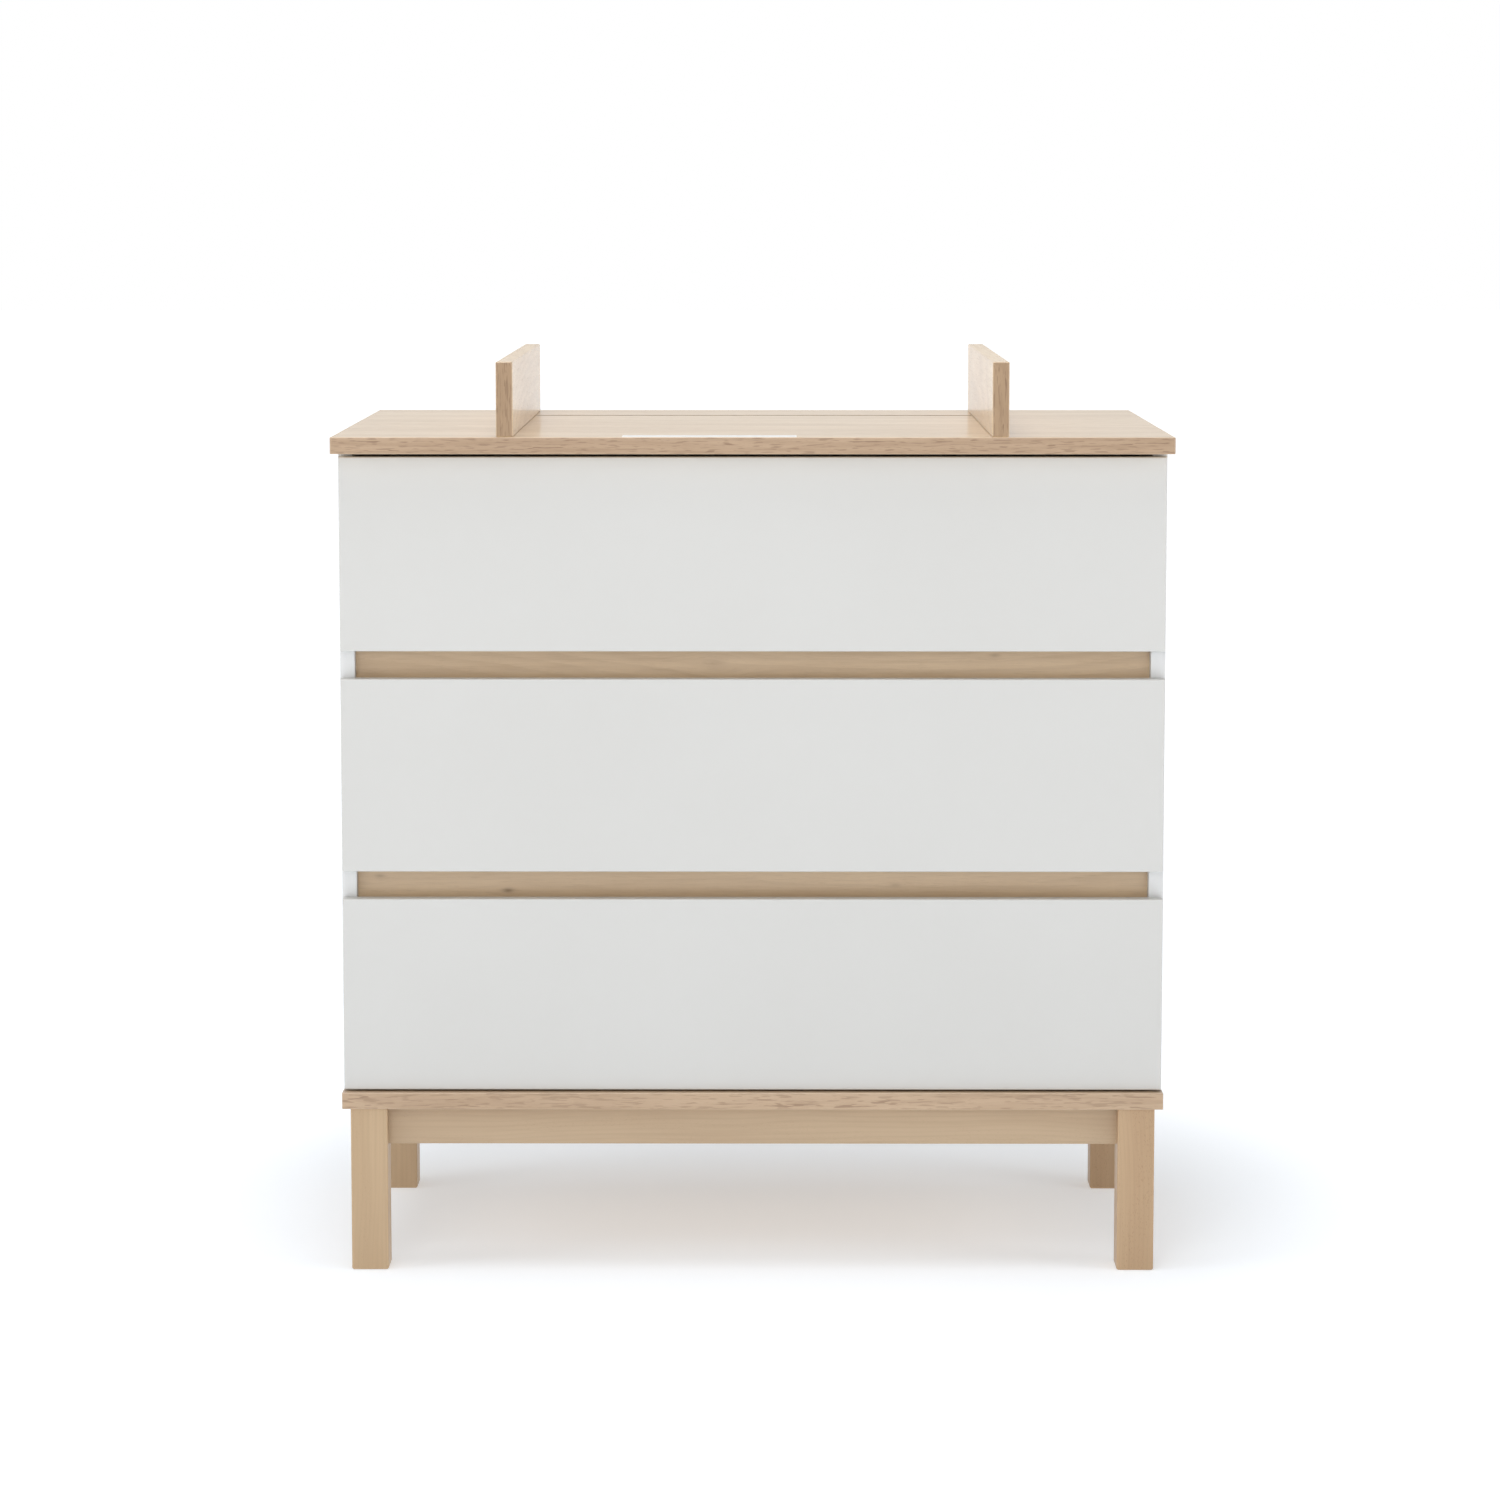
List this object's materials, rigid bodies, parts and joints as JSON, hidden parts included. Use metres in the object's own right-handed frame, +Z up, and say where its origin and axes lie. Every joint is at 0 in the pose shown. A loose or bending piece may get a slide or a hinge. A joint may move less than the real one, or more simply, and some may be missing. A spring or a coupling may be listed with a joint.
{
  "type": "changing table",
  "caption": "Chest of drawers on square legs with finger gaps between its white fronts, a deep oak-look top board and two upright rails that hold a changing mat.",
  "frame": {"origin": "on the floor, at the centre of the footprint of the top board", "axes": "+Z up; the drawers open towards -Y; +X is to the right seen from the front"},
  "size_m": [0.9, 0.6, 0.987],
  "materials": {
    "oak_decor": "satin oak decor foil",
    "beech": "satin lacquered solid beech",
    "white_front": "satin white lacquered MDF",
    "white_board": "white melamine faced board",
    "white_hardboard": "white coated hardboard",
    "zinc_steel": "zinc plated",
    "label_paper": "blank white film"
  },
  "bodies": {
    "carcass": {"apron_front": "beech", "apron_left": "beech", "apron_rear": "beech", "apron_right": "beech", "back_panel": "white_hardboard", "base_screws": "zinc_steel", "blank_label": "label_paper", "bottom_board": "oak_decor", "bottom_screws": "zinc_steel", "bracket_screws": "zinc_steel", "cam_bolts": "zinc_steel", "cam_locks": "zinc_steel", "changer_rail_left": "oak_decor", "changer_rail_right": "oak_decor", "changer_rail_screws": "zinc_steel", "corner_blocks": "beech", "cross_rail_lower": "oak_decor", "cross_rail_upper": "oak_decor", "leg_front_left": "beech", "leg_front_right": "beech", "leg_rear_left": "beech", "leg_rear_right": "beech", "lower_cabinet_runners": "zinc_steel", "middle_cabinet_runners": "zinc_steel", "runner_screws": "zinc_steel", "side_panel_left": "white_board", "side_panel_right": "white_board", "top_board": "oak_decor", "upper_cabinet_runners": "zinc_steel", "wall_brackets": "zinc_steel", "wood_dowels": "beech"},
    "lower_drawer": {"lower_drawer_back": "white_board", "lower_drawer_bottom": "white_hardboard", "lower_drawer_cam_bolts": "zinc_steel", "lower_drawer_cams": "zinc_steel", "lower_drawer_front": "white_front", "lower_drawer_runners": "zinc_steel", "lower_drawer_side_left": "white_board", "lower_drawer_side_right": "white_board"},
    "lower_runner_middle": {"lower_middle_runners": "zinc_steel"},
    "middle_drawer": {"middle_drawer_back": "white_board", "middle_drawer_bottom": "white_hardboard", "middle_drawer_cam_bolts": "zinc_steel", "middle_drawer_cams": "zinc_steel", "middle_drawer_front": "white_front", "middle_drawer_runners": "zinc_steel", "middle_drawer_side_left": "white_board", "middle_drawer_side_right": "white_board"},
    "middle_runner_middle": {"middle_middle_runners": "zinc_steel"},
    "upper_drawer": {"upper_drawer_back": "white_board", "upper_drawer_bottom": "white_hardboard", "upper_drawer_cam_bolts": "zinc_steel", "upper_drawer_cams": "zinc_steel", "upper_drawer_front": "white_front", "upper_drawer_runners": "zinc_steel", "upper_drawer_side_left": "white_board", "upper_drawer_side_right": "white_board"},
    "upper_runner_middle": {"upper_middle_runners": "zinc_steel"}
  },
  "joints": [
    {"name": "lower_drawer_slide", "type": "slide", "parent": "carcass", "child": "lower_drawer", "axis": [0, -1, 0], "range_m": [0, 0.35]},
    {"name": "lower_runner_slide", "type": "slide", "parent": "carcass", "child": "lower_runner_middle", "axis": [0, -1, 0], "range_m": [0, 0.175]},
    {"name": "middle_drawer_slide", "type": "slide", "parent": "carcass", "child": "middle_drawer", "axis": [0, -1, 0], "range_m": [0, 0.35]},
    {"name": "middle_runner_slide", "type": "slide", "parent": "carcass", "child": "middle_runner_middle", "axis": [0, -1, 0], "range_m": [0, 0.175]},
    {"name": "upper_drawer_slide", "type": "slide", "parent": "carcass", "child": "upper_drawer", "axis": [0, -1, 0], "range_m": [0, 0.35]},
    {"name": "upper_runner_slide", "type": "slide", "parent": "carcass", "child": "upper_runner_middle", "axis": [0, -1, 0], "range_m": [0, 0.175]}
  ],
  "couplings": [
    {"joint": "lower_runner_slide", "follows": "lower_drawer_slide", "ratio": 0.5},
    {"joint": "middle_runner_slide", "follows": "middle_drawer_slide", "ratio": 0.5},
    {"joint": "upper_runner_slide", "follows": "upper_drawer_slide", "ratio": 0.5}
  ]
}
